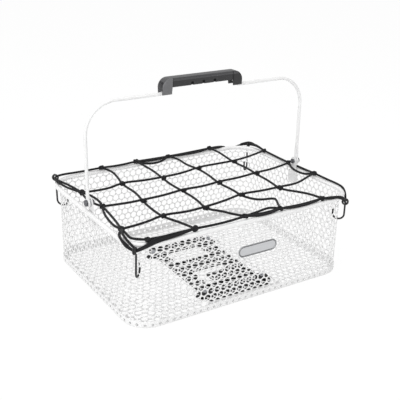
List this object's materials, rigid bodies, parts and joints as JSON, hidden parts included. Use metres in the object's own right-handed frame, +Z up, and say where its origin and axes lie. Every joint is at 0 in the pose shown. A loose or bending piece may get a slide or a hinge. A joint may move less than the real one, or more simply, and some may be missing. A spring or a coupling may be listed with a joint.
{
  "type": "bicycle rear rack basket",
  "caption": "Perforated steel basket with a rim wire, a folding carrying bail with a plastic grip, a hooked elastic luggage net and a quick-release adapter plate under the floor.",
  "frame": {"origin": "centre of the base, on the surface that the basket stands on", "axes": "+X along the basket's long side, +Y from the wall with the badge to the wall behind it, +Z up"},
  "size_m": [0.4514, 0.3452, 0.3578],
  "materials": {
    "white_coat": "satin powder coat",
    "dark_steel": "blackened",
    "zinc_steel": "zinc plated",
    "grip_plastic": "satin",
    "black_plastic": "fine texture",
    "brushed_badge": "brushed",
    "black_wire": "plastic coated",
    "elastic": "braided cover"
  },
  "bodies": {
    "basket": {"rim_wire": "white_coat", "wall_band": "white_coat", "floor_pan": "white_coat", "pivot_bracket_left": "white_coat", "pivot_bracket_right": "white_coat", "bracket_rivets": "white_coat", "pivot_bolts": "dark_steel", "pivot_spacers": "zinc_steel", "pivot_nuts": "zinc_steel", "adapter_plate": "black_plastic", "clamp_discs": "black_plastic", "clamp_washers": "zinc_steel", "adapter_screws": "zinc_steel", "adapter_nuts": "zinc_steel", "badge_plate": "brushed_badge", "badge_clips": "zinc_steel", "net_hook_back_left": "black_wire", "net_hook_back_right": "black_wire", "net_hook_front_left": "black_wire", "net_hook_front_right": "black_wire", "net_border_cord": "elastic", "net_long_cord_a": "elastic", "net_long_cord_b": "elastic", "net_long_cord_c": "elastic", "net_cross_cord_1": "elastic", "net_cross_cord_2": "elastic", "net_cross_cord_3": "elastic", "net_cross_cord_4": "elastic", "net_slack_loops": "elastic", "net_knots": "elastic"},
    "bail": {"bail_rod": "white_coat", "grip": "grip_plastic"}
  },
  "joints": [
    {"name": "bail_fold", "type": "hinge", "parent": "basket", "child": "bail", "pos_m": [0, -0.004, 0.165], "axis": [1, 0, 0], "range_deg": [-88, 88]}
  ]
}
